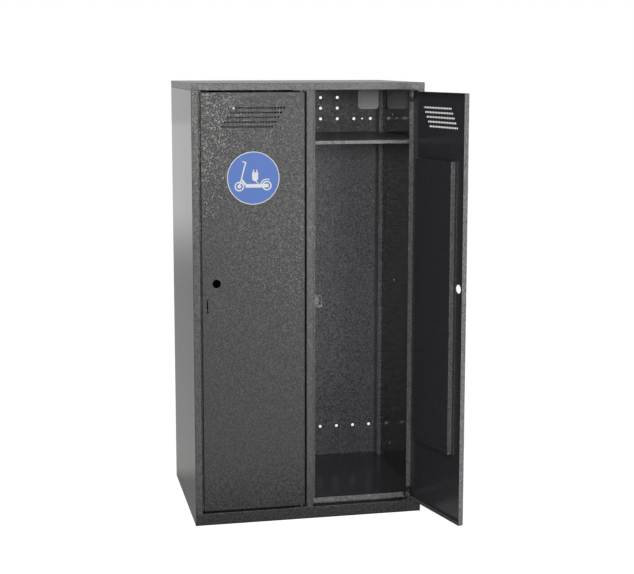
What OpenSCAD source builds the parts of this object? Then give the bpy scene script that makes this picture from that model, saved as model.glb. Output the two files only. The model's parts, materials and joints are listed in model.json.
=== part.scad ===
// Scooter charging locker: a folded sheet steel cabinet with two tall compartments.
// Each compartment has a hinged door, a shelf, a cable duct and a charging socket.
// The origin is at the middle of the base, on the ground. The front faces -Y.

/* [Cabinet] */
// Overall width
cab_w = 800; // [760:5:900]
// Overall depth
cab_d = 600; // [480:10:700]
// Overall height
cab_h = 1512; // [1450:2:1700]
// Height of the top cap
cap_h = 24; // [20:1:40]
// Gap under the top cap's folded edges
cap_gap = 0.9; // [0:0.1:0.9]
// Height of the plinth
plinth_h = 42; // [36:1:80]
// Thickness of the body sheet
sheet = 1.2; // [1:0.1:1.5]
// Inside radius of the bends in the sheet
bend_r = 0.8; // [0.6:0.1:1.2]

/* [Front frame] */
// Width of the stile at each outer side
stile_w = 24; // [20:1:34]
// Width of the mullion between the doors
mullion_w = 23; // [20:1:40]
// Depth of the door stop behind the front, on the latch side
stop_depth = 19; // [19:0.5:24]
// Width of the door stop, on the latch side
stop_w = 10.5; // [8:0.5:14]
// Depth of the lip behind the front, on the hinge side
hinge_lip_depth = 32; // [31:0.5:36]
// Width of the lip on the hinge side
hinge_lip_w = 12; // [8:0.5:16]
// Distance of the rear strips' inner edges from the cabinet's sides
rear_flange = 18; // [12:1:24]

/* [Plinth] */
// Thickness of the plinth sheet
plinth_sheet = 1.5; // [1.2:0.1:2]
// Width of the flange that stands on the ground
foot_flange = 25; // [18:1:40]
// Width of the ledge that carries the floor pans
ledge_w = 20; // [14:1:30]
// Width of the middle bearer
bearer_w = 30; // [20:2:50]

/* [Floor, shelf and back] */
// Top of the floor pan above the plinth
floor_rise = 6.8; // [5:0.2:7.4]
// Height of the floor pan's front lip above the plinth
floor_lip_h = 25; // [18:1:40]
// Distance of the shelf's top below the cap
shelf_drop = 172.4; // [130:0.2:340]
// Height of the shelf's folded edges
shelf_edge = 13; // [10:1:25]
// Distance of the shelf's front edge from the front
shelf_setback = 36; // [35:1:120]
// Diameter of the ventilation holes in the back
vent_d = 11; // [6:1:16]
// Distance between ventilation holes across
vent_pitch_x = 65.2; // [50:0.2:66]
// Distance between ventilation holes up and down
vent_pitch_z = 40.3; // [30:0.1:42]
// Distance of the top row below the cap
vent_drop = 42; // [30:1:60]
// Columns left out behind the socket, in the rows above the lowest one
vent_blank = 2; // [0:1:3]
// Height of the low row above the ground
vent_low_z = 162; // [100:2:240]
// Diameter of the small hole for the earth screw
earth_hole_d = 6; // [4:0.5:8]

/* [Joining holes] */
// Diameter of the holes that join cabinets side by side
join_d = 7; // [5:0.5:9]
// Distance of the front hole from the front, in the top and bottom pairs
join_front = 185; // [150:5:200]
// Distance of the rear hole from the front, in the top and bottom pairs
join_rear = 410; // [300:5:420]
// Distance of the front hole from the front, in the middle pair
join_mid_front = 120; // [80:5:150]
// Distance of the rear hole from the front, in the middle pair
join_mid_rear = 370; // [250:5:400]
// Height of the bottom pair above the ground
join_low_z = 134.5; // [90:0.5:160]
// Distance of the middle pair above halfway
join_mid_rise = 12; // [0:1:60]
// Distance of the top pair below the cap
join_drop = 100; // [60:1:120]

/* [Doors] */
// Gap between a door and the frame at its sides
door_gap = 6.25; // [6:0.25:8]
// Gap above a door
door_gap_top = 6; // [5:0.5:8]
// Gap below a door
door_gap_bottom = 8; // [8:0.5:12]
// Depth of the door pan
door_t = 18; // [17.5:0.5:18.5]
// Thickness of the door sheet
door_sheet = 1.2; // [1:0.1:1.5]
// Distance of the hinge axis from the door's edge
hinge_in = 10; // [9.5:0.25:12]
// Distance of the hinge axis behind the door's face
hinge_back = 12.5; // [12:0.1:12.8]
// Opening of the left door as drawn
left_rest = 0; // [0:1:104]
// Opening of the right door as drawn
right_rest = 104; // [0:1:104]

/* [Door cut-outs] */
// Diameter of the perforations
perf_d = 7; // [3:0.5:7]
// Distance between perforations along a row
perf_pitch = 10; // [8:0.5:10.5]
// Distance between rows
perf_rows_pitch = 15.6; // [10:0.2:18]
// Perforations in a row
perf_columns = 18; // [6:1:20]
// Rows of perforations
perf_rows = 5; // [2:1:6]
// Distance of the top row below the door's top
perf_drop = 52.7; // [40:0.5:80]
// Diameter of the lock hole
lock_d = 29; // [16:0.5:30]
// Distance of the lock hole from the free edge
lock_in = 48.8; // [42:0.2:50]
// Height of the lock hole above the door's middle
lock_rise = 75; // [45:1:150]
// Width of the slit beside the free edge
slit_w = 4.7; // [4:0.1:6]
// Height of the slit
slit_h = 48; // [36:1:60]
// Length of the slit's two ends
slit_end = 7.5; // [6:0.5:10]
// Height of the slit's two ends
slit_end_h = 4; // [2:0.5:6]
// Distance of the slit from the free edge
slit_in = 14.5; // [12:0.5:20]

/* [Door stiffener] */
// Distance of the stiffener from the hinge edge
stiff_in = 31; // [28:1:44]
// Distance of the stiffener from the free edge
stiff_out = 65; // [65:1:96]
// Width of each flange
stiff_flange = 13; // [10:1:22]
// Depth of the stiffener
stiff_depth = 16; // [8:0.5:16]
// Distance of the stiffener's ends from the door's ends
stiff_end = 224; // [150:2:360]
// Thickness of its sheet
stiff_sheet = 1; // [0.8:0.1:1.2]

/* [Hinges] */
// Diameter of the hinge pin
pin_d = 6; // [5:0.5:6.5]
// Diameter of the pin's collar
collar_d = 11; // [9:0.5:14]
// Length of the pin inside the door
pin_reach = 26; // [24:1:34]
// Radial clearance of the pin in its bushes
pin_clear = 0.05; // [0.02:0.01:0.1]
// Clearance between the collar and the door
collar_clear = 0.3; // [0.2:0.05:0.5]
// Thickness of the hinge plates
hinge_plate_t = 2.5; // [2:0.25:3]
// Length of the hinge plates
hinge_plate_l = 44; // [36:1:60]
// Outside diameter of the bush
bush_d = 8; // [7.6:0.2:8.4]
// Diameter of the bush's flange
bush_flange_d = 10; // [9:0.2:10.2]
// Thickness of the bush's flange
bush_flange_t = 2; // [1.5:0.25:3]
// Distance of the pivot bracket from the door's end
pivot_up = 20; // [16:1:22]
// Thickness of the pivot bracket
pivot_t = 2; // [1.5:0.25:2.5]
// Width of the pivot bracket
pivot_w = 24; // [18:1:30]
// Length of the pivot bracket's leg
pivot_leg = 16; // [12:1:24]

/* [Strike] */
// Height of the strike plate
strike_h = 43; // [36:1:60]
// Width of the strike plate
strike_w = 37; // [34:1:44]
// Thickness of the strike plate
strike_t = 2; // [1.5:0.25:2.5]
// Width of its slot
strike_slot_w = 7.5; // [6:0.5:9]
// Height of its slot
strike_slot_h = 31; // [24:1:34]
// Distance of its slot from the frame's return
strike_slot_in = 23.5; // [21:0.5:24]
// Bevel of its free corner
strike_bevel = 10; // [4:0.5:12]
// Depth of its folded leg
strike_leg = 12; // [8:0.5:16]

/* [Socket and duct] */
// Width of the cable duct
duct_w = 15; // [15:1:30]
// Depth of the cable duct
duct_d = 50; // [30:1:52]
// Width and height of the socket housing
socket_w = 80; // [76:1:90]
// Depth of the socket housing
socket_d = 50; // [44:1:56]
// Height of the socket's middle below the cap
socket_drop = 45; // [45:0.5:52]
// Gap between the socket housing and the cable duct
socket_gap = 2; // [1.5:0.5:4]
// Wall of the socket housing
socket_wall = 2.2; // [1.6:0.1:3]
// Corner radius of the socket housing
socket_r = 12; // [6:0.5:16]
// Inside diameter of the socket's recess
recess_d = 39.4; // [38:0.2:41]
// Depth of the socket's recess
recess_depth = 17; // [14:0.5:20]
// Wall of the recess
recess_wall = 2.2; // [1.6:0.1:3]
// Thickness of the rim round the recess
rim_t = 1.5; // [1:0.25:2]
// Width of the rim round the recess
rim_w = 3; // [2:0.5:4]
// Diameter of the two contact holes
contact_d = 5.2; // [4.8:0.2:6]
// Distance between the contact holes
contact_pitch = 19; // [18:0.5:20]
// Width of the two earth contact slots
earth_w = 5; // [3:0.5:7]
// Width of the socket's lid
lid_w = 60; // [54:1:66]
// Height of the lid below its hinge
lid_h = 60; // [54:1:64]
// Corner radius of the lid
lid_r = 9; // [4:0.5:12]
// Thickness of the lid
lid_t = 4; // [3:0.25:5]
// Distance of the lid's hinge axis above the socket's middle
lid_axis_up = 33; // [31:0.5:34]
// Diameter of the lid's hinge pin
lid_pin_d = 3; // [2.5:0.25:3.5]
// Wall round the lid's hinge pin
lid_wall = 1.6; // [1.2:0.1:1.8]
// Width of the lid's barrel
lid_barrel_w = 26; // [18:1:32]
// Width of each ear beside the barrel
ear_w = 5; // [4:0.5:7]
// Clearance between the barrel and the ears
ear_gap = 0.3; // [0.2:0.05:0.5]
// Diameter of the cable hole between duct and socket
grommet_bore = 9; // [7:0.5:11]
// Outside diameter of the grommet's flange
grommet_d = 19; // [17:0.5:21]
// Wall of the grommet
grommet_wall = 2; // [1.5:0.25:2.5]
// Thickness of the grommet's lips
grommet_lip = 1.5; // [1:0.25:2.5]

/* [Hidden] */
$fn = 48;
bend_steps = 4;
cut = 1;
seat = 0.3;
front_y = -cab_d / 2;
back_y = cab_d / 2;
side_x = cab_w / 2;
cap_z = cab_h - cap_h;
inner_back = back_y - 2 * sheet;
inner_side = side_x - sheet;
half_wall = sheet / 2;
corner_r = bend_r + sheet;
rear_x = inner_side - bend_r;
room_back = [inner_back, inner_back - corner_r];
opening_w = (cab_w - 2 * stile_w - mullion_w) / 2;
latch_x = [-side_x + stile_w, mullion_w / 2];
hinge_x = [latch_x[0] + opening_w, latch_x[1] + opening_w];
wall_left = [-inner_side, half_wall];
wall_right = [-half_wall, inner_side];
door_w = opening_w - 2 * door_gap;
door_bottom = plinth_h + door_gap_bottom;
door_top = cap_z - door_gap_top;
door_corner_r = bend_r + door_sheet;
axis_x = [hinge_x[0] - door_gap - hinge_in, hinge_x[1] - door_gap - hinge_in];
axis_y = front_y + hinge_back;
rest_angle = [left_rest, right_rest];
swing_r = norm([hinge_in - door_corner_r, hinge_back - door_corner_r]) + door_corner_r;
swing_clear = 1.5;
face_y = -hinge_back;
skin_y = face_y + door_sheet;
rear_y = face_y + door_t;
free_x = hinge_in - door_w;
stop_y = front_y + stop_depth;
lip_y = front_y + hinge_lip_depth;
room_y = lip_y + sheet + cut;
floor_z = plinth_h + floor_rise;
floor_lip_z = plinth_h + floor_lip_h;
shelf_z = cap_z - shelf_drop;
join_top_z = cap_z - join_drop;
join_mid_z = (join_low_z + join_top_z) / 2 + join_mid_rise;
door_mid = (door_bottom + door_top) / 2;
vent_columns = 6;
vent_rows = 3;
room_mid = (inner_side + half_wall) / 2;
strike_z = door_mid - strike_h / 2;
socket_step = duct_w + socket_gap + socket_w / 2;
socket_x = [wall_right[0] - socket_step, wall_right[1] - socket_step];
socket_z = cap_z - socket_drop;
socket_y = inner_back - socket_d;
insert_r = recess_d / 2 + recess_wall;
insert_floor = recess_depth - rim_t;
lid_gap = 0.3;
lid_back = -rim_t - lid_gap;
lid_front = lid_back - lid_t;
lid_barrel_r = lid_pin_d / 2 + lid_wall;
lid_axis = [lid_front + lid_pin_d / 2, lid_axis_up];
lid_top = lid_axis_up - lid_barrel_r - seat;
ear_x = lid_barrel_w / 2 + ear_gap;
grommet_y = inner_back - duct_d / 2;
grommet_neck_d = grommet_bore + 2 * grommet_wall;

// Finishes
powder_coat = [0.30, 0.31, 0.32];
zinc = [0.72, 0.73, 0.74];
nylon = [0.12, 0.12, 0.12];
socket_grey = [0.78, 0.79, 0.78];
rubber = [0.07, 0.07, 0.07];

// Vectors in the plane of a bent sheet's profile
function unit(v) = v / norm(v);
function right_of(v) = [v[1], -v[0]];
function turned(v, a) = [v[0] * cos(a) - v[1] * sin(a), v[0] * sin(a) + v[1] * cos(a)];

// Points of a rounded corner, each with the normal that points to the path's right
function corner_points(p, before, after, t) =
    let (
        turn = atan2(cross(before, after), before * after),
        side = sign(turn),
        radius = turn > 0 ? bend_r : bend_r + t,
        start = p - before * radius * tan(abs(turn) / 2),
        centre = start - side * radius * right_of(before)
    )
    side == 0
        ? [[p, right_of(before)]]
        : [
            for (k = [0 : bend_steps])
                let (a = turn * k / bend_steps)
                [centre + side * radius * turned(right_of(before), a), turned(right_of(before), a)]
        ];

function bend_points(path, t) =
    let (last = len(path) - 1)
    [
        for (i = [0 : last])
            let (
                after = i < last ? unit(path[i + 1] - path[i]) : unit(path[i] - path[i - 1]),
                before = i > 0 ? unit(path[i] - path[i - 1]) : after
            )
            each corner_points(path[i], before, after, t)
    ];

// Profile of a sheet that lies to the right of a path, with rounded bends
module bent_profile(path, t) {
    line = bend_points(path, t);
    last = len(line) - 1;
    polygon(concat(
        [for (q = line) q[0]],
        [for (i = [last : -1 : 0]) line[i][0] + t * line[i][1]]
    ));
}

// Extrudes a profile drawn in the XY plane upwards, from one height to another
module upright(from_z, to_z) {
    translate([0, 0, from_z]) linear_extrude(to_z - from_z) children();
}

// Extrudes a profile drawn in the YZ plane across, from one place to another
module across(from_x, to_x) {
    translate([from_x, 0, 0]) rotate([90, 0, 90]) linear_extrude(to_x - from_x) children();
}

// Extrudes a profile drawn in the XZ plane rearwards, from one place to another
module rearwards(from_y, to_y) {
    translate([0, to_y, 0]) rotate([90, 0, 0]) linear_extrude(to_y - from_y) children();
}

// A block given by two opposite corners
module block(low, high) {
    translate(low) cube(high - low);
}

// A round rod between two heights
module rod(x, y, r, from_z, to_z) {
    translate([x, y, from_z]) cylinder(h = to_z - from_z, r = r);
}

// A round rod between two places across
module cross_rod(from_x, to_x, y, z, r) {
    translate([from_x, y, z]) rotate([0, 90, 0]) cylinder(h = to_x - from_x, r = r);
}

// A round rod between two places from front to rear
module deep_rod(x, z, r, from_y, to_y) {
    translate([x, from_y, z]) rotate([-90, 0, 0]) cylinder(h = to_y - from_y, r = r);
}

// A rectangle whose two corners at the low second coordinate are rounded
module soft_front(low, high, r) {
    translate([low[0] + r, low[1]]) square([high[0] - low[0] - 2 * r, r]);
    translate([low[0], low[1] + r]) square([high[0] - low[0], high[1] - low[1] - r]);
    translate([low[0] + r, low[1] + r]) circle(r);
    translate([high[0] - r, low[1] + r]) circle(r);
}

// A rectangle about the origin with four rounded corners
module soft_rect(w, h, r) {
    square([w - 2 * r, h], center = true);
    square([w, h - 2 * r], center = true);
    for (x = [-1, 1], z = [-1, 1]) {
        translate([x * (w / 2 - r), z * (h / 2 - r)]) circle(r);
    }
}

// A block whose four edges round its front face are rounded
module soft_block(low, high, r) {
    intersection() {
        upright(low[2], high[2]) soft_front([low[0], low[1]], [high[0], high[1]], r);
        across(low[0], high[0])
            rotate(90)
            mirror([0, 1])
            soft_front([low[2], low[1]], [high[2], high[1]], r);
    }
}

// A sheet folded rearwards along all four edges of its front face
module folded_pan(low, high, t) {
    difference() {
        soft_block(low, high, bend_r + t);
        soft_block(low + [t, t, t], [high[0] - t, high[1] + cut, high[2] - t], bend_r);
    }
}

// Holes in a side panel through which it is joined to the next cabinet
module joining_holes() {
    places = [
        [join_front, join_low_z], [join_rear, join_low_z],
        [join_mid_front, join_mid_z], [join_mid_rear, join_mid_z],
        [join_front, join_top_z], [join_rear, join_top_z]
    ];
    for (q = places) {
        cross_rod(-side_x - cut, -inner_side + cut, front_y + q[0], q[1], join_d / 2);
    }
}

// A side panel as it stands on the left, folded into a stile, a return and a lip
module side_panel(lip_depth, lip_w, lip_from) {
    stile_x = -side_x + stile_w;
    path = [
        [stile_x + lip_w, front_y + lip_depth],
        [stile_x, front_y + lip_depth],
        [stile_x, front_y],
        [-side_x, front_y],
        [-side_x, back_y]
    ];
    difference() {
        upright(0, cap_z) bent_profile(path, sheet);
        block([-inner_side, front_y - cut, -cut], [stile_x + lip_w + cut, room_y, plinth_h]);
        block(
            [stile_x, front_y + lip_depth - cut, 0],
            [stile_x + lip_w + cut, room_y, lip_from]
        );
        joining_holes();
    }
}

// Strip inside a side panel's rear edge, as it stands on the left, that holds the back
module rear_strip() {
    color(powder_coat)
        block([-inner_side, back_y - sheet, 0], [-side_x + rear_flange, back_y, cap_z]);
}

module left_side_panel() {
    color(powder_coat) side_panel(stop_depth, stop_w, floor_lip_z + seat);
}

module right_side_panel() {
    color(powder_coat)
        mirror([1, 0, 0])
        side_panel(hinge_lip_depth, hinge_lip_w, floor_z + seat);
}

module centre_mullion() {
    path = [
        [latch_x[1] + stop_w, stop_y],
        [latch_x[1], stop_y],
        [latch_x[1], front_y],
        [hinge_x[0], front_y],
        [hinge_x[0], lip_y],
        [hinge_x[0] - hinge_lip_w, lip_y]
    ];
    color(powder_coat)
        difference() {
            upright(plinth_h, cap_z) bent_profile(path, sheet);
            block(
                [latch_x[1], stop_y - cut, plinth_h - cut],
                [latch_x[1] + stop_w + cut, room_y, floor_lip_z + seat]
            );
            block(
                [hinge_x[0] - hinge_lip_w - cut, lip_y - cut, plinth_h - cut],
                [hinge_x[0], room_y, floor_z + seat]
            );
        }
}

// Wall between the compartments, with a flange behind the right stop and one at the back
module centre_partition() {
    path = [
        [latch_x[1] + stop_w, stop_y + sheet],
        [-half_wall, stop_y + sheet],
        [-half_wall, inner_back],
        [rear_flange, inner_back]
    ];
    color(powder_coat)
        difference() {
            upright(plinth_h, cap_z) bent_profile(path, sheet);
            block(
                [half_wall, stop_y, plinth_h - cut],
                [latch_x[1] + stop_w + cut, room_y, floor_lip_z + seat]
            );
        }
}

module back_hole(x, z, d) {
    deep_rod(x, z, d / 2, inner_back - cut, back_y);
}

module back_panel() {
    middle = (vent_columns - 1) / 2;
    top_z = cap_z - vent_drop;
    last_z = top_z - (vent_rows - 1) * vent_pitch_z;
    color(powder_coat)
        difference() {
            block([-rear_x, inner_back, plinth_h], [rear_x, inner_back + sheet, cap_z]);
            for (room = [-room_mid, room_mid]) {
                for (i = [0 : vent_columns - 1]) {
                    x = room + (i - middle) * vent_pitch_x;
                    first_row = i < vent_columns - vent_blank ? 0 : vent_rows - 1;
                    for (row = [first_row : vent_rows - 1]) {
                        back_hole(x, top_z - row * vent_pitch_z, vent_d);
                    }
                    back_hole(x, vent_low_z, vent_d);
                }
                back_hole(room + (middle - 0.5) * vent_pitch_x, last_z, earth_hole_d);
            }
        }
}

// Tray under the cap, with its edges turned up
module roof_panel() {
    edge_z = cap_z + cap_h / 2;
    x = side_x - sheet - seat;
    y = back_y - sheet - seat;
    color(powder_coat) {
        rearwards(-y + corner_r, y - corner_r)
            bent_profile([[x, edge_z], [x, cap_z], [-x, cap_z], [-x, edge_z]], sheet);
        across(-x + corner_r, x - corner_r)
            bent_profile([[y, edge_z], [y, cap_z], [-y, cap_z], [-y, edge_z]], sheet);
    }
}

module top_cap() {
    color(powder_coat)
        rotate([-90, 0, 0])
        folded_pan([-side_x, -cab_h, front_y], [side_x, -cap_z - cap_gap, back_y], sheet);
}

// End view of a plinth rail with a foot flange and a ledge along its top
module rail_profile(top) {
    bent_profile([[foot_flange, 0], [0, 0], [0, plinth_h], [top, plinth_h]], plinth_sheet);
}

// Depth of the sill along the top of the front rail, as far as the floor pans' front edges
function sill_depth() = room_y + sheet - front_y;

module plinth_front_rail() {
    color(powder_coat)
        translate([0, front_y, 0])
        across(-inner_side, inner_side)
        rail_profile(sill_depth());
}

module plinth_rear_rail() {
    color(powder_coat)
        translate([0, back_y - sheet, 0])
        mirror([0, 1, 0])
        across(-rear_x, rear_x)
        rail_profile(ledge_w);
}

// Distance of the bearers' ends from the cabinet's front and back
function bearer_from() = front_y + max(foot_flange, sill_depth()) + seat;
function bearer_to() = back_y - sheet - foot_flange - seat;

module left_floor_bearer() {
    color(powder_coat)
        translate([-inner_side, 0, 0])
        rearwards(bearer_from(), bearer_to())
        rail_profile(ledge_w);
}

module right_floor_bearer() {
    mirror([1, 0, 0]) left_floor_bearer();
}

// Box bearer that carries the wall between the compartments
module centre_floor_bearer() {
    half = bearer_w / 2;
    inner = half - plinth_sheet;
    color(powder_coat)
        difference() {
            block([-half, bearer_from(), 0], [half, bearer_to(), plinth_h]);
            block(
                [-inner, bearer_from() - cut, plinth_sheet],
                [inner, bearer_to() + cut, plinth_h - plinth_sheet]
            );
        }
}

// Floor pan of one compartment, with a front lip and four down-turned edges on the plinth
module floor_pan(side) {
    low = wall_left[side];
    high = wall_right[side];
    under_z = floor_z - sheet;
    rear = room_back[side];
    lip_to = axis_x[side] - swing_r - swing_clear;
    color(powder_coat) {
        across(latch_x[side] + seat, lip_to)
            bent_profile([[room_y, under_z], [stop_y, under_z], [stop_y, floor_lip_z]], sheet);
        block([low, room_y, under_z], [high, rear, floor_z]);
        block([low, room_y, plinth_h], [high, room_y + sheet, floor_z]);
        block([low, room_y, plinth_h], [low + sheet, rear, floor_z]);
        block([high - sheet, room_y, plinth_h], [high, rear, floor_z]);
        block([low, rear - sheet, plinth_h], [high, rear, floor_z]);
    }
}

// Shelf of one compartment, with folded edges, as deep as the room in front of the duct
module shelf(side) {
    low = wall_left[side];
    high = wall_right[side];
    shelf_y = front_y + shelf_setback;
    rear = inner_back - duct_d - seat;
    under_z = shelf_z - shelf_edge;
    path = [
        [shelf_y + shelf_edge, under_z],
        [shelf_y, under_z],
        [shelf_y, shelf_z],
        [rear, shelf_z],
        [rear, under_z]
    ];
    color(powder_coat) {
        across(low, high) bent_profile(path, sheet);
        for (x = [low, high - sheet]) {
            block([x, shelf_y + corner_r, under_z], [x + sheet, rear - corner_r, shelf_z]);
        }
    }
}

// Ledge on the back panel that carries the shelf on to the back, beside the duct
module shelf_ledge(side) {
    low = wall_left[side];
    high = wall_right[side] - duct_w - seat;
    front = inner_back - duct_d;
    rear = room_back[side];
    under_z = shelf_z - shelf_edge;
    path = [[front, under_z], [front, shelf_z], [rear, shelf_z], [rear, under_z]];
    color(powder_coat) across(low, high) bent_profile(path, sheet);
}

// Hole for a cable from the duct into the socket housing
module cable_hole(side) {
    x = wall_right[side] - duct_w;
    from_x = x - socket_gap - socket_wall - cut;
    cross_rod(from_x, x + sheet + cut, grommet_y, socket_z, grommet_neck_d / 2);
}

// Distance of the duct's cover strip from the duct's side
function cover_from() = corner_r + seat;

// Side of the cable duct in the rear corner, from the floor pan to the roof
module cable_duct(side) {
    x = wall_right[side] - duct_w;
    front = inner_back - duct_d;
    path = [[x + cover_from(), front], [x, front], [x, inner_back]];
    color(powder_coat)
        difference() {
            upright(floor_z, cap_z) bent_profile(path, sheet);
            cable_hole(side);
        }
}

// Strip that covers the front of the duct
module duct_cover(side) {
    high = wall_right[side];
    front = inner_back - duct_d;
    color(powder_coat)
        block([high - duct_w + cover_from(), front, floor_z], [high, front + sheet, cap_z]);
}

// Strike plate behind the door stop, with a latch slot, a folded edge and a bevel
module strike(side) {
    low = latch_x[side];
    high = low + strike_w;
    plate_y = stop_y + (1 + side) * sheet;
    top_z = strike_z + strike_h;
    slot_x = low + strike_slot_in;
    slot_z = strike_z + (strike_h - strike_slot_h) / 2;
    path = [[high, plate_y + strike_leg], [high, plate_y], [low, plate_y]];
    color(powder_coat)
        difference() {
            upright(strike_z, top_z) bent_profile(path, strike_t);
            rearwards(plate_y - cut, plate_y + strike_leg + cut)
                polygon([
                    [high + cut, top_z - strike_bevel - cut],
                    [high + cut, top_z + cut],
                    [high - strike_bevel - cut, top_z + cut]
                ]);
            block(
                [slot_x, plate_y - cut, slot_z],
                [slot_x + strike_slot_w, plate_y + strike_t + cut, slot_z + strike_slot_h]
            );
        }
}

// The lower and the upper plate that carry the hinge pins
module hinge_plates(side) {
    high = hinge_x[side];
    color(powder_coat)
        for (z = [plinth_h, cap_z - hinge_plate_t]) {
            top = z + hinge_plate_t;
            difference() {
                block(
                    [high - hinge_plate_l, front_y + door_corner_r, z],
                    [high, lip_y - bend_r - seat, top]
                );
                rod(axis_x[side], axis_y, pin_d / 2, z - cut, top + cut);
            }
        }
}

// The lower and the upper hinge pin, each with the collar that spaces the door
module hinge_pins(side) {
    x = axis_x[side];
    low_z = plinth_h + hinge_plate_t;
    high_z = cap_z - hinge_plate_t;
    color(zinc) {
        rod(x, axis_y, pin_d / 2, plinth_h, door_bottom + pin_reach);
        rod(x, axis_y, collar_d / 2, low_z, door_bottom - collar_clear);
        rod(x, axis_y, pin_d / 2, door_top - pin_reach, cap_z);
        rod(x, axis_y, collar_d / 2, door_top + collar_clear, high_z);
    }
}

// Places a door's piece, drawn closed with the hinge axis through the origin
module on_door(side) {
    translate([axis_x[side], axis_y, 0])
        rotate([0, 0, rest_angle[side]])
        children();
}

// Draws a piece at the door's lower edge, and its mirror image at the upper edge
module both_edges() {
    translate([0, 0, door_bottom]) children();
    translate([0, 0, door_top]) mirror([0, 0, 1]) children();
}

// A round hole through the skin, placed by its distance from the hinge edge
module skin_hole(from_hinge, z, d) {
    deep_rod(hinge_in - from_hinge, z, d / 2, face_y - cut, skin_y + cut);
}

// Slanting field of perforations, centred across the door
module perforations() {
    field_w = (perf_columns + perf_rows - 2) * perf_pitch;
    first = (door_w - field_w) / 2;
    top = door_top - perf_drop;
    for (row = [0 : perf_rows - 1], i = [0 : perf_columns - 1]) {
        skin_hole(first + (row + i) * perf_pitch, top - row * perf_rows_pitch, perf_d);
    }
}

// The slit beside the free edge, an upright line with two short ends
module slit() {
    x = free_x + slit_in;
    z = door_mid - slit_h / 2;
    rearwards(face_y - cut, skin_y + cut) {
        translate([x, z]) square([slit_w, slit_h]);
        translate([x, z]) square([slit_end, slit_end_h]);
        translate([x, z + slit_h - slit_end_h]) square([slit_end, slit_end_h]);
    }
}

module door_skin(side) {
    color(powder_coat)
        on_door(side)
        difference() {
            folded_pan([free_x, face_y, door_bottom], [hinge_in, rear_y, door_top], door_sheet);
            perforations();
            skin_hole(door_w - lock_in, door_mid + lock_rise, lock_d);
            slit();
            both_edges() rod(0, 0, bush_d / 2, -cut, door_sheet + cut);
        }
}

// Top-hat section welded to the inside of the skin
module door_stiffener(side) {
    left = free_x + stiff_out;
    right = hinge_in - stiff_in;
    foot_y = skin_y + stiff_sheet;
    top_y = skin_y + stiff_depth;
    path = [
        [left, foot_y],
        [left + stiff_flange, foot_y],
        [left + stiff_flange, top_y],
        [right - stiff_flange, top_y],
        [right - stiff_flange, foot_y],
        [right, foot_y]
    ];
    color(powder_coat)
        on_door(side)
        upright(door_bottom + stiff_end, door_top - stiff_end)
        bent_profile(path, stiff_sheet);
}

// Angle brackets in the door's hinge corners, which give each pin a second bearing
module pivot_brackets(side) {
    right = hinge_in - door_sheet;
    front = skin_y + bend_r;
    top = pivot_up + pivot_t;
    color(powder_coat)
        on_door(side)
        both_edges()
        difference() {
            union() {
                block([right - pivot_w, front, pivot_up], [right, rear_y - seat, top]);
                block(
                    [right - pivot_t, front, pivot_up],
                    [right, rear_y - seat, pivot_up + pivot_leg]
                );
            }
            rod(0, 0, pin_d / 2 + pin_clear, pivot_up - cut, top + cut);
        }
}

// Flanged bushes in the door's lower and upper edge
module door_bushes(side) {
    top = door_sheet + bush_flange_t;
    color(nylon)
        on_door(side)
        both_edges()
        difference() {
            union() {
                rod(0, 0, bush_d / 2, 0, door_sheet);
                rod(0, 0, bush_flange_d / 2, door_sheet, top);
            }
            rod(0, 0, pin_d / 2 + pin_clear, -cut, top + cut);
        }
}

// Places a socket's piece, drawn with the middle of the housing's front at the origin
module on_socket(side) {
    translate([socket_x[side], socket_y, socket_z]) children();
}

// Ear of the housing that carries one end of the lid's hinge pin
module lid_ear(x) {
    difference() {
        union() {
            cross_rod(x, x + ear_w, lid_axis[0], lid_axis[1], lid_barrel_r);
            block(
                [x, lid_axis[0], lid_axis[1] - lid_barrel_r],
                [x + ear_w, socket_wall, lid_axis[1] + lid_barrel_r]
            );
        }
        cross_rod(x - cut, x + ear_w + cut, lid_axis[0], lid_axis[1], lid_pin_d / 2);
    }
}

module socket_housing(side) {
    inner_w = socket_w - 2 * socket_wall;
    color(socket_grey)
        difference() {
            on_socket(side) {
                difference() {
                    rearwards(0, socket_d) soft_rect(socket_w, socket_w, socket_r);
                    rearwards(socket_wall, socket_d + cut)
                        soft_rect(inner_w, inner_w, socket_r - socket_wall);
                    deep_rod(0, 0, insert_r, -cut, socket_wall + cut);
                }
                lid_ear(-ear_x - ear_w);
                lid_ear(ear_x);
            }
            cable_hole(side);
        }
}

// Round recess of the socket, with two contact holes and two earth contact slots
module socket_insert(side) {
    back = insert_floor + 2 * recess_wall;
    color(socket_grey)
        on_socket(side)
        difference() {
            union() {
                deep_rod(0, 0, insert_r + rim_w, -rim_t, 0);
                deep_rod(0, 0, insert_r, 0, back);
            }
            deep_rod(0, 0, recess_d / 2, -rim_t - cut, insert_floor);
            for (x = [-contact_pitch / 2, contact_pitch / 2]) {
                deep_rod(x, 0, contact_d / 2, insert_floor - cut, back + cut);
            }
            for (z = [-insert_r, insert_r]) {
                block(
                    [-earth_w / 2, socket_wall, z - 2 * recess_wall],
                    [earth_w / 2, insert_floor, z + 2 * recess_wall]
                );
            }
        }
}

// Lid of the socket, hung from a barrel on the hinge pin
module socket_lid(side) {
    half = lid_barrel_w / 2;
    color(socket_grey)
        on_socket(side)
        difference() {
            union() {
                rearwards(lid_front, lid_back)
                    translate([0, lid_top - lid_h / 2])
                    soft_rect(lid_w, lid_h, lid_r);
                cross_rod(-half, half, lid_axis[0], lid_axis[1], lid_barrel_r);
                block([-half, lid_front, lid_top - lid_r], [half, lid_back, lid_axis[1]]);
            }
            cross_rod(
                -half - cut, half + cut, lid_axis[0], lid_axis[1], lid_pin_d / 2 + pin_clear
            );
        }
}

module lid_pin(side) {
    half = ear_x + ear_w;
    color(zinc) on_socket(side) cross_rod(-half, half, lid_axis[0], lid_axis[1], lid_pin_d / 2);
}

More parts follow.
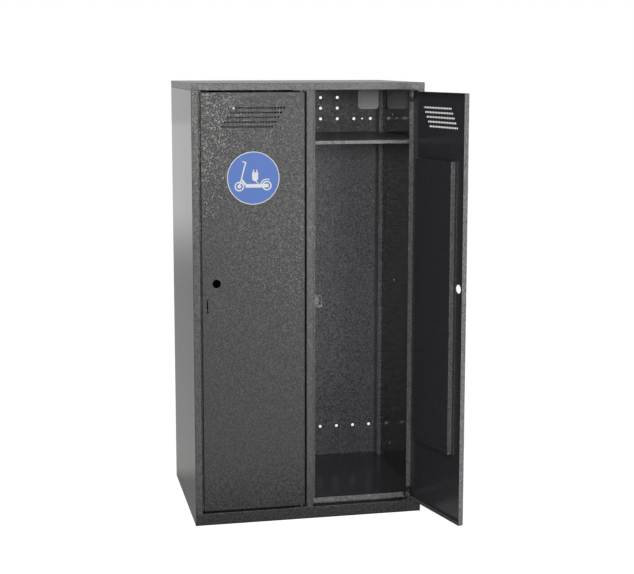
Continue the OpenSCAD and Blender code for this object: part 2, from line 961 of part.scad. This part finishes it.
// Grommet that lines the cable hole from the duct into the socket housing
module cable_grommet(side) {
    duct_x = wall_right[side] - duct_w;
    from_x = duct_x - socket_gap - socket_wall - grommet_lip;
    to_x = duct_x + sheet + grommet_lip;
    color(rubber)
        difference() {
            union() {
                cross_rod(from_x, to_x, grommet_y, socket_z, grommet_neck_d / 2);
                cross_rod(from_x, from_x + grommet_lip, grommet_y, socket_z, grommet_d / 2);
                cross_rod(duct_x - socket_gap, duct_x, grommet_y, socket_z, grommet_d / 2);
            }
            cross_rod(from_x - cut, to_x + cut, grommet_y, socket_z, grommet_bore / 2);
        }
}

left_side_panel();
right_side_panel();
centre_mullion();
centre_partition();
back_panel();
roof_panel();
top_cap();
plinth_front_rail();
plinth_rear_rail();
left_floor_bearer();
right_floor_bearer();
centre_floor_bearer();
floor_pan(0);  // left_floor_pan
floor_pan(1);  // right_floor_pan
shelf(0);  // left_shelf
shelf(1);  // right_shelf
shelf_ledge(0);  // left_shelf_ledge
shelf_ledge(1);  // right_shelf_ledge
rear_strip();  // left_rear_strip
mirror([1, 0, 0]) rear_strip();  // right_rear_strip
cable_duct(0);  // left_cable_duct
cable_duct(1);  // right_cable_duct
duct_cover(0);  // left_duct_cover
duct_cover(1);  // right_duct_cover
strike(0);  // left_strike
strike(1);  // right_strike
hinge_plates(0);  // left_hinge_plates
hinge_plates(1);  // right_hinge_plates
hinge_pins(0);  // left_hinge_pins
hinge_pins(1);  // right_hinge_pins
door_skin(0);  // left_door_skin
door_skin(1);  // right_door_skin
door_stiffener(0);  // left_door_stiffener
door_stiffener(1);  // right_door_stiffener
pivot_brackets(0);  // left_pivot_brackets
pivot_brackets(1);  // right_pivot_brackets
door_bushes(0);  // left_door_bushes
door_bushes(1);  // right_door_bushes
socket_housing(0);  // left_socket_housing
socket_housing(1);  // right_socket_housing
socket_insert(0);  // left_socket_insert
socket_insert(1);  // right_socket_insert
socket_lid(0);  // left_socket_lid
socket_lid(1);  // right_socket_lid
lid_pin(0);  // left_lid_pin
lid_pin(1);  // right_lid_pin
cable_grommet(0);  // left_cable_grommet
cable_grommet(1);  // right_cable_grommet
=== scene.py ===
import json
import math

import bmesh
import bpy
from mathutils import Matrix, Vector


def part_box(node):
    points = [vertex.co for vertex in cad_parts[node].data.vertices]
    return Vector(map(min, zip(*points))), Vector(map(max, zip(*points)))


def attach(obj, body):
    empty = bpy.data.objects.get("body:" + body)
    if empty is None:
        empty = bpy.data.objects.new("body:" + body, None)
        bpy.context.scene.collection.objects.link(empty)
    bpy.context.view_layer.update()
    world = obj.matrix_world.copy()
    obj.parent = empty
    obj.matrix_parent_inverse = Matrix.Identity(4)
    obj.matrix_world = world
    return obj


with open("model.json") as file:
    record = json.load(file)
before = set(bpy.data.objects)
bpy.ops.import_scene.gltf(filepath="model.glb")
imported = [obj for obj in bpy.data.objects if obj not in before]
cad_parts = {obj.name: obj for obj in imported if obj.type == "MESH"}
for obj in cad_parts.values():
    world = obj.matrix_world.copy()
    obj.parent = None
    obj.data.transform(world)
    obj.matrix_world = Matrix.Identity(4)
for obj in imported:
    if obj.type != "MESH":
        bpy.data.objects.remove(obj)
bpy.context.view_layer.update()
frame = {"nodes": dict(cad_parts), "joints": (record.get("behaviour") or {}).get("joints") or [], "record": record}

nodes = frame["nodes"]
mm = 0.001


# Camera, floor and light

view = {
    "location": (-0.95234, -4.81786, 1.58592),
    "tiltDown": 7.8763,
    "turnRight": 11.9721,
    "lens": 77.82,
    "sensorWidth": 36.0,
    "shift": (0.0085, -0.05836),
    "farthest": 100.0,
}

studio = {
    "floorSize": 60.0,
    "floorColour": (0.86, 0.86, 0.86),
    "floorRoughness": 0.9,
    "floorSpecular": 0.1,
    "floorGlow": 0.84,          # added where the camera sees the floor
    "backdrop": (1.0, 1.0, 1.0),
    "behind": 0.70,             # how bright glossy surfaces mirror the far side
    "behindFull": 0.3,          # y of a mirrored ray's direction where that is reached
    "fill": 0.20,               # what the surroundings give the object
}

# the floor's glow in a glossy surface, a painted reflection: each row grows from nothing at one y to all at
# another, and the floor beside the cabinet stays dark in it as painted shade
floorPaintedReflection = (
    {"start": -0.3, "end": -1.0, "more": 0.72},
    {"start": 0.20, "end": 0.45, "more": 0.18},
    {"start": 4.7, "end": 10.0, "more": 0.46},
)

lamps = {
    "key": {"place": (-0.55, -4.8, 1.8), "aim": (0.0, -0.3, 0.9), "size": 0.7, "power": 50.0,
            "colour": (1.0, 0.97, 0.93)},
    "low": {"place": (1.25, -4.8, 0.65), "aim": (0.1, -0.1, 0.8), "size": 0.7, "power": 6.0,
            "colour": (0.97, 0.98, 1.0)},
    "right": {"place": (2.2, -4.5, 1.0), "aim": (0.2, -0.3, 0.8), "size": 0.9, "power": 50.0,
              "colour": (0.97, 0.98, 1.0)},
    "top": {"place": (-1.0, -2.4, 3.3), "aim": (-0.2, -0.3, 1.2), "size": 0.9, "power": 20.0,
            "colour": (1.0, 0.98, 0.95)},
}


def addCamera():
    camera = bpy.data.objects.new("camera", bpy.data.cameras.new("camera"))
    bpy.context.scene.collection.objects.link(camera)
    camera.location = view["location"]
    camera.rotation_euler = (
        math.radians(90 - view["tiltDown"]), 0, math.radians(-view["turnRight"]))
    camera.data.lens = view["lens"]
    camera.data.sensor_width = view["sensorWidth"]
    camera.data.shift_x, camera.data.shift_y = view["shift"]
    camera.data.clip_end = view["farthest"]
    bpy.context.scene.camera = camera


def addLamp(name, lamp):
    light = bpy.data.lights.new(name, "AREA")
    light.size = lamp["size"]
    light.energy = lamp["power"]
    light.color = lamp["colour"]
    thing = bpy.data.objects.new(name, light)
    bpy.context.scene.collection.objects.link(thing)
    thing.location = lamp["place"]
    aim = Vector(lamp["aim"]) - Vector(lamp["place"])
    thing.rotation_euler = aim.to_track_quat("-Z", "Y").to_euler()


# Node trees

def addNode(tree, kind, inputs=None, **settings):
    # an input is a value, or another node's output to link
    made = tree.nodes.new(kind)
    for name, value in settings.items():
        setattr(made, name, value)
    for key, value in (inputs or {}).items():
        if isinstance(value, bpy.types.NodeSocket):
            tree.links.new(value, made.inputs[key])
        else:
            made.inputs[key].default_value = value
    return made


def newMaterial(name):
    material = bpy.data.materials.new(name)
    material.use_nodes = True
    material.node_tree.nodes.clear()
    return material


def newGroup(name, kind, inputs, outputs):
    group = bpy.data.node_groups.new(name, kind)
    for way, sockets in (("INPUT", inputs), ("OUTPUT", outputs)):
        for label, socket in sockets:
            group.interface.new_socket(label, in_out=way, socket_type="NodeSocket" + socket)
    return group


def objectPoints(tree):
    return addNode(tree, "ShaderNodeTexCoord").outputs["Object"]


def alongY(tree, vector):
    return addNode(tree, "ShaderNodeSeparateXYZ", {0: vector}).outputs["Y"]


def seenStrength(tree, direct, mirrored, other):
    # one strength for the camera, one for reflections and glass, and one for all the rest
    path = addNode(tree, "ShaderNodeLightPath")
    either = addNode(tree, "ShaderNodeMath", {0: path.outputs["Is Glossy Ray"],
                     1: path.outputs["Is Transmission Ray"]}, operation="MAXIMUM")
    first = addNode(tree, "ShaderNodeMapRange",
                    {"Value": either.outputs[0], "To Min": other, "To Max": mirrored})
    return addNode(tree, "ShaderNodeMix", {"Factor": path.outputs["Is Camera Ray"],
                   "A": first.outputs[0], "B": direct}).outputs[0]


def lightWorld():
    world = bpy.data.worlds.new("studio")
    world.use_nodes = True
    tree = world.node_tree
    tree.nodes.clear()
    way = addNode(tree, "ShaderNodeTexCoord").outputs["Generated"]
    mirrored = addNode(tree, "ShaderNodeMapRange", {
        "Value": alongY(tree, way),
        "From Min": -studio["behindFull"], "From Max": studio["behindFull"],
        "To Min": 1.0, "To Max": studio["behind"]})
    sky = addNode(tree, "ShaderNodeBackground", {"Color": studio["backdrop"] + (1,),
                  "Strength": seenStrength(tree, 1.0, mirrored.outputs[0], studio["fill"])})
    addNode(tree, "ShaderNodeOutputWorld", {"Surface": sky.outputs[0]})
    bpy.context.scene.world = world


def floorMaterial():
    material = newMaterial("paleFloor")
    tree = material.node_tree
    place = alongY(tree, objectPoints(tree))
    # the floor's painted reflection, which only reflections and glass see
    mirrored = 0.0
    for band in floorPaintedReflection:
        grown = addNode(tree, "ShaderNodeMapRange", {
            "Value": place, "From Min": band["start"], "From Max": band["end"],
            "To Max": band["more"]}, interpolation_type="SMOOTHSTEP")
        mirrored = addNode(tree, "ShaderNodeMath", {0: grown.outputs[0], 1: mirrored},
                           operation="ADD").outputs[0]
    shader = addNode(tree, "ShaderNodeBsdfPrincipled", {
        "Base Color": studio["floorColour"] + (1,),
        "Roughness": studio["floorRoughness"],
        "Specular IOR Level": studio["floorSpecular"],
        "Emission Color": (1, 1, 1, 1),
        "Emission Strength": seenStrength(tree, studio["floorGlow"], mirrored, 0.0)})
    addNode(tree, "ShaderNodeOutputMaterial", {"Surface": shader.outputs[0]})
    return material


def addFloor():
    half = studio["floorSize"] / 2
    mesh = bpy.data.meshes.new("floor")
    mesh.from_pydata([(-half, -half, 0), (half, -half, 0), (half, half, 0), (-half, half, 0)],
                     [], [(0, 1, 2, 3)])
    floor = bpy.data.objects.new("floor", mesh)
    bpy.context.scene.collection.objects.link(floor)
    mesh.materials.append(floorMaterial())


# Doors, as the frame has them at rest

def doorAtRest(side):
    # a hinge is at 0 at rest, and its door is closed at the lower limit
    joint = next(j for j in frame["joints"] if j["name"] == side + "_door_hinge")
    opened = math.radians(-joint["range_deg"][0])
    return {"hinge": Vector(joint["pos_m"]), "turn": Matrix.Rotation(opened, 3, "Z")}


doors = {side: doorAtRest(side) for side in ("left", "right")}
front, back, up = (0, -1, 0), (0, 1, 0), (0, 0, 1)
openFront = tuple(doors["right"]["turn"] @ Vector(front))
openInside = tuple(doors["right"]["turn"] @ Vector(back))


# Powder coat

# colour of the darkest and the lightest specks, how far the specks lean, their roughness,
# and the blue channel set against the others
coats = {
    "front": {"dark": 0.018, "light": 0.048, "tilt": 0.20, "roughness": 0.25, "blue": 1.02},
    # the front frame's strips, lighter than the door: painted highlight
    "frame": {"dark": 0.032, "light": 0.100, "tilt": 0.23, "roughness": 0.28, "blue": 1.0},
    # the compartments' inner pieces: the same coat made lighter and bluish, painted light that stands in for lamp
    # light reaching the back
    "room": {"dark": 0.050, "light": 0.210, "tilt": 0.28, "roughness": 0.30, "blue": 1.12},
    # the cabinet's top cover, lighter than the door: painted highlight
    "cap": {"dark": 0.050, "light": 0.170, "tilt": 0.23, "roughness": 0.28, "blue": 1.0},
    # lips, bends, stiffeners and the open door's walls, lighter still: painted highlight
    "edge": {"dark": 0.070, "light": 0.250, "tilt": 0.22, "roughness": 0.28, "blue": 1.0},
    "side": {"dark": 0.018, "light": 0.034, "tilt": 0.008, "roughness": 0.10, "blue": 1.0},
    # faces that point to the back and the floor pans' tops: the same coat, smooth and bluish with little speck
    # contrast, painted shade for faces the lamps hardly reach
    "insidePaintedShade": {"dark": 0.036, "light": 0.052, "tilt": 0.012, "roughness": 0.20,
                   "blue": 1.2},
}
cellSize = 0.0030               # width of the coat's specks
facingFrom = 0.6                # how squarely a face points a way where that way's look starts
facingFull = 0.9                # and where the look is whole

# each piece's look, and the looks of its faces that point another way; most looks are lighter or darker copies of
# the one coat, so light and shade are painted by where a face is and how it points
looksByPiece = {
    "side_panel": ("side", ("frame", front)),
    "centre_mullion": ("frame",),
    "top_cap": ("cap",),
    "back_panel": ("room", ("front", back)),
    "centre_partition": ("room",),
    "roof_panel": ("room",),
    "shelf": ("room", ("edge", front)),
    "shelf_ledge": ("room",),
    "cable_duct": ("room",),
    "duct_cover": ("room",),
    "strike": ("room",),
    "floor_pan": ("edge", ("insidePaintedShade", up)),
    "left_door_skin": ("front", ("insidePaintedShade", back)),
    "left_door_stiffener": ("edge", ("insidePaintedShade", back)),
    "right_door_skin": ("edge", ("front", openFront), ("insidePaintedShade", openInside)),
    "right_door_stiffener": ("edge", ("insidePaintedShade", openInside)),
}
otherLooks = ("front",)         # of the pieces that aren't listed


def looksOf(name):
    # a piece's own looks, or the ones that it shares with its twin on the other side
    twin = name.removeprefix("left_").removeprefix("right_")
    return looksByPiece.get(name, looksByPiece.get(twin, otherLooks))


def coatGrain():
    # one random shade and one random tilt for each speck
    group = newGroup("coatGrain", "ShaderNodeTree", [("Tilt", "Float")],
                     [("Speck", "Float"), ("Normal", "Vector")])
    given = addNode(group, "NodeGroupInput")
    specks = addNode(group, "ShaderNodeTexVoronoi",
                     {"Vector": objectPoints(group), "Scale": 1 / cellSize})
    lean = addNode(group, "ShaderNodeVectorMath",
                   {0: specks.outputs["Color"], 1: (0.5, 0.5, 0.5)}, operation="SUBTRACT")
    lean = addNode(group, "ShaderNodeVectorMath",
                   {0: lean.outputs[0], "Scale": given.outputs["Tilt"]}, operation="SCALE")
    straight = addNode(group, "ShaderNodeNewGeometry")
    bent = addNode(group, "ShaderNodeVectorMath",
                   {0: straight.outputs["Normal"], 1: lean.outputs[0]}, operation="ADD")
    bent = addNode(group, "ShaderNodeVectorMath", {0: bent.outputs[0]}, operation="NORMALIZE")
    shade = addNode(group, "ShaderNodeSeparateColor", {0: specks.outputs["Color"]})
    addNode(group, "NodeGroupOutput", {"Speck": shade.outputs[2], "Normal": bent.outputs[0]})
    return group


def facingMask(tree, facing):
    # 1 on the faces that point this way, and 0 on the others; it places the painted light and shade of the coat's
    # looks
    normal = addNode(tree, "ShaderNodeTexCoord").outputs["Normal"]
    towards = addNode(tree, "ShaderNodeVectorMath", {0: normal, 1: facing},
                      operation="DOT_PRODUCT")
    return addNode(tree, "ShaderNodeMapRange", {
        "Value": towards.outputs["Value"],
        "From Min": facingFrom, "From Max": facingFull}).outputs[0]


def powderCoat(name, grain, look, *others):
    # the other looks cover the faces that point their way, painting light and shade by how a face points
    material = newMaterial(name)
    tree = material.node_tree
    masked = [(facingMask(tree, facing), coats[other]) for other, facing in others]

    def blended(key):
        value = coats[look][key]
        for mask, coat in masked:
            value = addNode(tree, "ShaderNodeMix",
                            {"Factor": mask, "A": value, "B": coat[key]}).outputs[0]
        return value

    specks = addNode(tree, "ShaderNodeGroup", {"Tilt": blended("tilt")}, node_tree=grain)
    shade = addNode(tree, "ShaderNodeMapRange", {"Value": specks.outputs["Speck"],
                    "To Min": blended("dark"), "To Max": blended("light")})
    blue = addNode(tree, "ShaderNodeMath", {0: shade.outputs[0], 1: blended("blue")},
                   operation="MULTIPLY")
    colour = addNode(tree, "ShaderNodeCombineColor",
                     {0: shade.outputs[0], 1: shade.outputs[0], 2: blue.outputs[0]})
    shader = addNode(tree, "ShaderNodeBsdfPrincipled", {
        "Base Color": colour.outputs[0], "Roughness": blended("roughness"),
        "Normal": specks.outputs["Normal"]})
    addNode(tree, "ShaderNodeOutputMaterial", {"Surface": shader.outputs[0]})
    return material


# Metal, plastic, rubber and the sign's print

plainFinishes = {
    "zinc": {"colour": (0.18, 0.185, 0.19), "roughness": 0.50, "metallic": 1.0},
    "nylon": {"colour": (0.03, 0.03, 0.03), "roughness": 0.50, "metallic": 0.0},
    # partly the plastic's own pale grey, partly painted light that stands in for lamp light the socket lacks
    "socketPlastic": {"colour": (0.85, 0.86, 0.85), "roughness": 0.38, "metallic": 0.0},
    "rubber": {"colour": (0.02, 0.02, 0.02), "roughness": 0.70, "metallic": 0.0},
    "signBlue": {"colour": (0.072, 0.18, 0.56), "roughness": 0.42, "metallic": 0.0},
    "signWhite": {"colour": (0.80, 0.81, 0.82), "roughness": 0.42, "metallic": 0.0},
}
finishOfSlot = {"zinc": "zinc", "nylon": "nylon", "socket_plastic": "socketPlastic",
                "rubber": "rubber"}
# fine clouds: the darkest colour set against the full one, and the change in roughness
clouding = {"scale": 220.0, "detail": 3.0, "darkest": 0.86, "roughnessChange": 0.07}


def plainFinish(name):
    finish = plainFinishes[name]
    material = newMaterial(name)
    tree = material.node_tree
    clouds = addNode(tree, "ShaderNodeTexNoise", {
        "Vector": objectPoints(tree), "Scale": clouding["scale"],
        "Detail": clouding["detail"]}).outputs["Fac"]
    darkest = tuple(c * clouding["darkest"] for c in finish["colour"])
    shade = addNode(tree, "ShaderNodeMix", {
        "Factor": clouds, "A": darkest + (1,), "B": finish["colour"] + (1,)},
        data_type="RGBA")
    rough = addNode(tree, "ShaderNodeMapRange", {
        "Value": clouds, "To Min": finish["roughness"] - clouding["roughnessChange"],
        "To Max": finish["roughness"] + clouding["roughnessChange"]})
    shader = addNode(tree, "ShaderNodeBsdfPrincipled", {
        "Base Color": shade.outputs[2], "Roughness": rough.outputs[0],
        "Metallic": finish["metallic"]})
    addNode(tree, "ShaderNodeOutputMaterial", {"Surface": shader.outputs[0]})
    return material


def dressNode(name, material):
    node = nodes[name]
    node.data.materials.clear()
    node.data.materials.append(material)


# The round sign on the closed door, in mm

sign = {
    "body": "left_door",
    "skin": "left_door_skin",   # carries the sign in the middle of its width
    "up": 1195.6,
    "radius": 89.0,
    "border": 2.6,
    "sides": 128,               # of the disc and of the border
    "artScale": 0.95,
    "film": 0.2,                # thickness of the sign
    "print": 0.06,              # how far the white stands on the blue
    "layer": 0.03,              # how far a shape stands on the one that it crosses
}

# the pictogram's shapes, from the middle of the sign
art = {
    "wheels": ((-50, -29), (48.5, -27)),
    "tyre": {"outer": 17, "inner": 12.4},
    "hub": 7,
    "mudguard": {"outer": 24.5, "inner": 21, "start": 65, "end": 178, "steps": 24},
    "deck": ((-27, -33.5), (46, -33.5), (46, -20.5), (-29, -20.5)),
    "tubes": (                  # start, end and width, each tube a layer higher
        ((-41, -6), (-24, -27), 7),
        ((-43, -4), (-50, -29), 4.6),
        ((-27, 56), (-43, -4), 4.6),
        ((-38, 58.5), (-26.5, 55.5), 3.68),
    ),
    "plugBody": ((-4.3, 20), (17.3, 20), (17.3, -2), (14.5, -7.5), (9.5, -10.5),
                 (3.5, -10.5), (-1.5, -7.5), (-4.3, -2)),
    "plugLines": (              # start, end and width
        ((0.8, 18), (0.8, 28), 4.2),
        ((12.2, 18), (12.2, 28), 4.2),
        ((8, -10), (16.5, -18), 3.2),
    ),
}


def addPlate(mesh, outline, low, high):
    near = [mesh.verts.new((p[0] * mm, -high * mm, p[1] * mm)) for p in outline]
    far = [mesh.verts.new((p[0] * mm, -low * mm, p[1] * mm)) for p in outline]
    mesh.faces.new(near)
    mesh.faces.new(list(reversed(far)))
    for i in range(len(outline)):
        j = (i + 1) % len(outline)
        mesh.faces.new((near[j], near[i], far[i], far[j]))


def addStroke(mesh, start, end, width, low, high, steps=10):
    # a straight line with round ends
    a, b = Vector(start), Vector(end)
    along = (b - a).normalized()
    across = Vector((-along.y, along.x))
    outline = []
    for middle, first in ((b, -90), (a, 90)):
        for i in range(steps + 1):
            turn = math.radians(first + 180 * i / steps)
            way = math.cos(turn) * along + math.sin(turn) * across
            outline.append(middle + way * width / 2)
    addPlate(mesh, outline, low, high)


def addRing(mesh, centre, outer, inner, low, high, start=0, end=360, steps=64):
    closed = end - start >= 360
    count = steps if closed else steps + 1
    corners = []
    for i in range(count):
        turn = math.radians(start + (end - start) * i / steps)
        way = Vector((math.cos(turn), math.sin(turn)))
        corners.append([
            mesh.verts.new(((centre[0] + way.x * r) * mm, -y * mm, (centre[1] + way.y * r) * mm))
            for r, y in ((outer, high), (inner, high), (inner, low), (outer, low))])
    for i in range(steps):
        here, there = corners[i], corners[(i + 1) % count]
        for k in range(4):
            n = (k + 1) % 4
            mesh.faces.new((here[k], there[k], there[n], here[n]))
    if not closed:
        mesh.faces.new(corners[0])
        mesh.faces.new(list(reversed(corners[-1])))


def circlePoints(centre, radius, steps=48):
    return [(centre[0] + radius * math.cos(math.tau * i / steps),
             centre[1] + radius * math.sin(math.tau * i / steps)) for i in range(steps)]


def finishMesh(name, mesh, material, offset):
    bmesh.ops.recalc_face_normals(mesh, faces=mesh.faces)
    bmesh.ops.translate(mesh, verts=mesh.verts, vec=offset)
    data = bpy.data.meshes.new(name)
    mesh.to_mesh(data)
    mesh.free()
    data.materials.append(material)
    piece = bpy.data.objects.new(name, data)
    bpy.context.scene.collection.objects.link(piece)
    return piece


def addPictogram(mesh):
    base = sign["film"] / 2
    top = sign["film"] + sign["print"]
    layer = sign["layer"]
    tyre, guard = art["tyre"], art["mudguard"]
    for wheel in art["wheels"]:
        addRing(mesh, wheel, tyre["outer"], tyre["inner"], base, top)
        addPlate(mesh, circlePoints(wheel, art["hub"]), base, top + layer)
    addRing(mesh, art["wheels"][1], guard["outer"], guard["inner"], base, top + layer,
            guard["start"], guard["end"], guard["steps"])
    addPlate(mesh, art["deck"], base, top + 2 * layer)
    for i, (start, end, width) in enumerate(art["tubes"]):
        addStroke(mesh, start, end, width, base, top + (3 + i) * layer)
    addPlate(mesh, art["plugBody"], base, top)
    for start, end, width in art["plugLines"]:
        addStroke(mesh, start, end, width, base, top + layer)
    bmesh.ops.scale(mesh, verts=mesh.verts, vec=(sign["artScale"], 1, sign["artScale"]))


def addSign(blue, white):
    low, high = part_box(sign["skin"])
    face = Vector(((low.x + high.x) / 2, low.y, sign["up"] * mm))
    film, radius, border = sign["film"], sign["radius"], sign["border"]
    disc = bmesh.new()
    addPlate(disc, circlePoints((0, 0), radius - border / 2, sign["sides"]), 0, film)
    drawing = bmesh.new()
    addPictogram(drawing)
    addRing(drawing, (0, 0), radius, radius - border, 0, film + sign["print"],
            steps=sign["sides"])
    for piece in (finishMesh("sign_disc", disc, blue, face),
                  finishMesh("sign_pictogram", drawing, white, face)):
        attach(piece, sign["body"])


# Weld spots, rivets and screw heads, in mm

headShape = {"segments": 14, "rings": 6}
welds = {"radius": 2.3, "height": 0.5, "spread": 0.12, "seed": 3,
         "fromEdge": 6.5,       # from the stiffener's long edges
         "steel": 1.0,          # the flange that they stand on
         "pitch": 108.0, "count": 8}
rivets = {"radius": 3.2, "height": 0.9, "spread": 0.05, "seed": 5,
          "column": 9.5, "columnUp": (90.0, 1440.0), "columnCount": 11,
          "rows": ((-370.0, -40.0), (50.0, 370.0)), "rowCount": 5}
screws = {"radius": 2.6, "height": 1.1, "spread": 0.0, "seed": 1,
          "fromSide": 17.0, "fromEnd": 9.5,     # on the strikes
          "recess": 17.0}                       # how deep they sit in the sockets


def headTree():
    # a low round head on each point, square to the point's facing
    tree = newGroup("heads", "GeometryNodeTree", [
        ("Geometry", "Geometry"), ("Radius", "Float"), ("Height", "Float"),
        ("Spread", "Float"), ("Seed", "Int"), ("Finish", "Material")],
        [("Geometry", "Geometry")])
    given = addNode(tree, "NodeGroupInput")
    ball = addNode(tree, "GeometryNodeMeshUVSphere", {
        "Segments": headShape["segments"], "Rings": headShape["rings"], "Radius": 1.0})
    size = addNode(tree, "ShaderNodeCombineXYZ", {
        0: given.outputs["Radius"], 1: given.outputs["Radius"], 2: given.outputs["Height"]})
    head = addNode(tree, "GeometryNodeTransform", {"Geometry": ball.outputs["Mesh"],
                   "Scale": size.outputs[0]})
    facing = addNode(tree, "GeometryNodeInputNamedAttribute", {"Name": "facing"},
                     data_type="FLOAT_VECTOR")
    turn = addNode(tree, "FunctionNodeAlignRotationToVector",
                   {"Vector": facing.outputs["Attribute"]}, axis="Z")
    least = addNode(tree, "ShaderNodeMath", {0: 1.0, 1: given.outputs["Spread"]},
                    operation="SUBTRACT")
    most = addNode(tree, "ShaderNodeMath", {0: 1.0, 1: given.outputs["Spread"]},
                   operation="ADD")
    varied = addNode(tree, "FunctionNodeRandomValue", {
        2: least.outputs[0], 3: most.outputs[0], "Seed": given.outputs["Seed"]},
        data_type="FLOAT")
    placed = addNode(tree, "GeometryNodeInstanceOnPoints", {
        "Points": given.outputs["Geometry"], "Instance": head.outputs[0],
        "Rotation": turn.outputs[0], "Scale": varied.outputs[1]})
    real = addNode(tree, "GeometryNodeRealizeInstances", {"Geometry": placed.outputs[0]})
    dressed = addNode(tree, "GeometryNodeSetMaterial", {
        "Geometry": real.outputs[0], "Material": given.outputs["Finish"]})
    addNode(tree, "NodeGroupOutput", {"Geometry": dressed.outputs[0]})
    return tree


def addHeads(name, body, tree, kind, finish, spots):
    # spots: the place of each head and the way it faces
    mesh = bpy.data.meshes.new(name)
    mesh.from_pydata([place for place, way in spots], [], [])
    facing = mesh.attributes.new("facing", "FLOAT_VECTOR", "POINT")
    for i, (place, way) in enumerate(spots):
        facing.data[i].vector = way
    piece = bpy.data.objects.new(name, mesh)
    bpy.context.scene.collection.objects.link(piece)
    modifier = piece.modifiers.new("heads", "NODES")
    modifier.node_group = tree
    values = {"Radius": kind["radius"] * mm, "Height": kind["height"] * mm,
              "Spread": kind["spread"], "Seed": kind["seed"], "Finish": finish}
    for socket in tree.interface.items_tree:
        if socket.in_out == "INPUT" and socket.name in values:
            modifier[socket.identifier] = values[socket.name]
    graph = bpy.context.evaluated_depsgraph_get()
    made = bpy.data.meshes.new_from_object(piece.evaluated_get(graph))
    piece.modifiers.clear()
    piece.data = made
    made.name = name
    for face in made.polygons:
        face.use_smooth = True
    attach(piece, body)


def spaced(start, end, count):
    return [start + (end - start) * i / (count - 1) for i in range(count)]


def weldSpots(side):
    # both doors are alike, so the closed one's stiffener gives the places on either
    low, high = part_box("left_door_stiffener")
    closed, door = doors["left"], doors[side]
    reach = welds["pitch"] * (welds["count"] - 1) / 2 * mm
    middle = (low.z + high.z) / 2
    spots = []
    for x in (low.x + welds["fromEdge"] * mm, high.x - welds["fromEdge"] * mm):
        for z in spaced(middle - reach, middle + reach, welds["count"]):
            place = Vector((x, low.y + welds["steel"] * mm, z)) - closed["hinge"]
            spots.append((door["turn"] @ place + door["hinge"], door["turn"] @ Vector(back)))
    return spots


def rivetSpots():
    # one column on the wall between the compartments, and one row along each shelf's ledge
    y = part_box("back_panel")[1].y
    low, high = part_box("left_shelf_ledge")
    column = spaced(*rivets["columnUp"], rivets["columnCount"])
    spots = [((rivets["column"] * mm, y, z * mm), back) for z in column]
    for start, end in rivets["rows"]:
        row = spaced(start, end, rivets["rowCount"])
        spots += [((x * mm, y, (low.z + high.z) / 2), back) for x in row]
    return spots


def screwSpots():
    spots = []
    for side in ("left", "right"):
        low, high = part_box(side + "_strike")
        x = low.x + screws["fromSide"] * mm
        inset = screws["fromEnd"] * mm
        spots += [((x, low.y, z), front) for z in (low.z + inset, high.z - inset)]
    for side in ("left", "right"):
        low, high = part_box(side + "_socket_insert")
        y = low.y + screws["recess"] * mm
        spots.append((((low.x + high.x) / 2, y, (low.z + high.z) / 2), front))
    return spots


def addAllHeads(coat, inside, metal):
    tree = headTree()
    for side in ("left", "right"):
        addHeads(side + "_door_welds", side + "_door", tree, welds, inside,
                 weldSpots(side))
    addHeads("back_rivets", "cabinet", tree, rivets, coat, rivetSpots())
    addHeads("cabinet_screws", "cabinet", tree, screws, metal, screwSpots())


# Build

addCamera()
lightWorld()
for name, lamp in lamps.items():
    addLamp(name, lamp)
addFloor()
bpy.context.scene.view_settings.view_transform = "Standard"
print("camera, floor and light are set")

grain = coatGrain()
finishes = {name: plainFinish(name) for name in plainFinishes}
coatOf = {}
for part in frame["record"]["subparts"]:
    name, slot = part["node"], part["material_slot"]
    if slot in finishOfSlot:
        dressNode(name, finishes[finishOfSlot[slot]])
        continue
    looks = looksOf(name)
    if looks not in coatOf:
        coatOf[looks] = powderCoat("powderCoat_" + str(len(coatOf)), grain, *looks)
    dressNode(name, coatOf[looks])
print("finishes are on the nodes")

addSign(finishes["signBlue"], finishes["signWhite"])
print("the sign is on its door")

plainCoat = powderCoat("powderCoat_heads", grain, "front")
insidePaintedShadeCoat = powderCoat("powderCoat_welds", grain, "insidePaintedShade")
addAllHeads(plainCoat, insidePaintedShadeCoat, finishes["zinc"])
print("welds, rivets and screws are on")
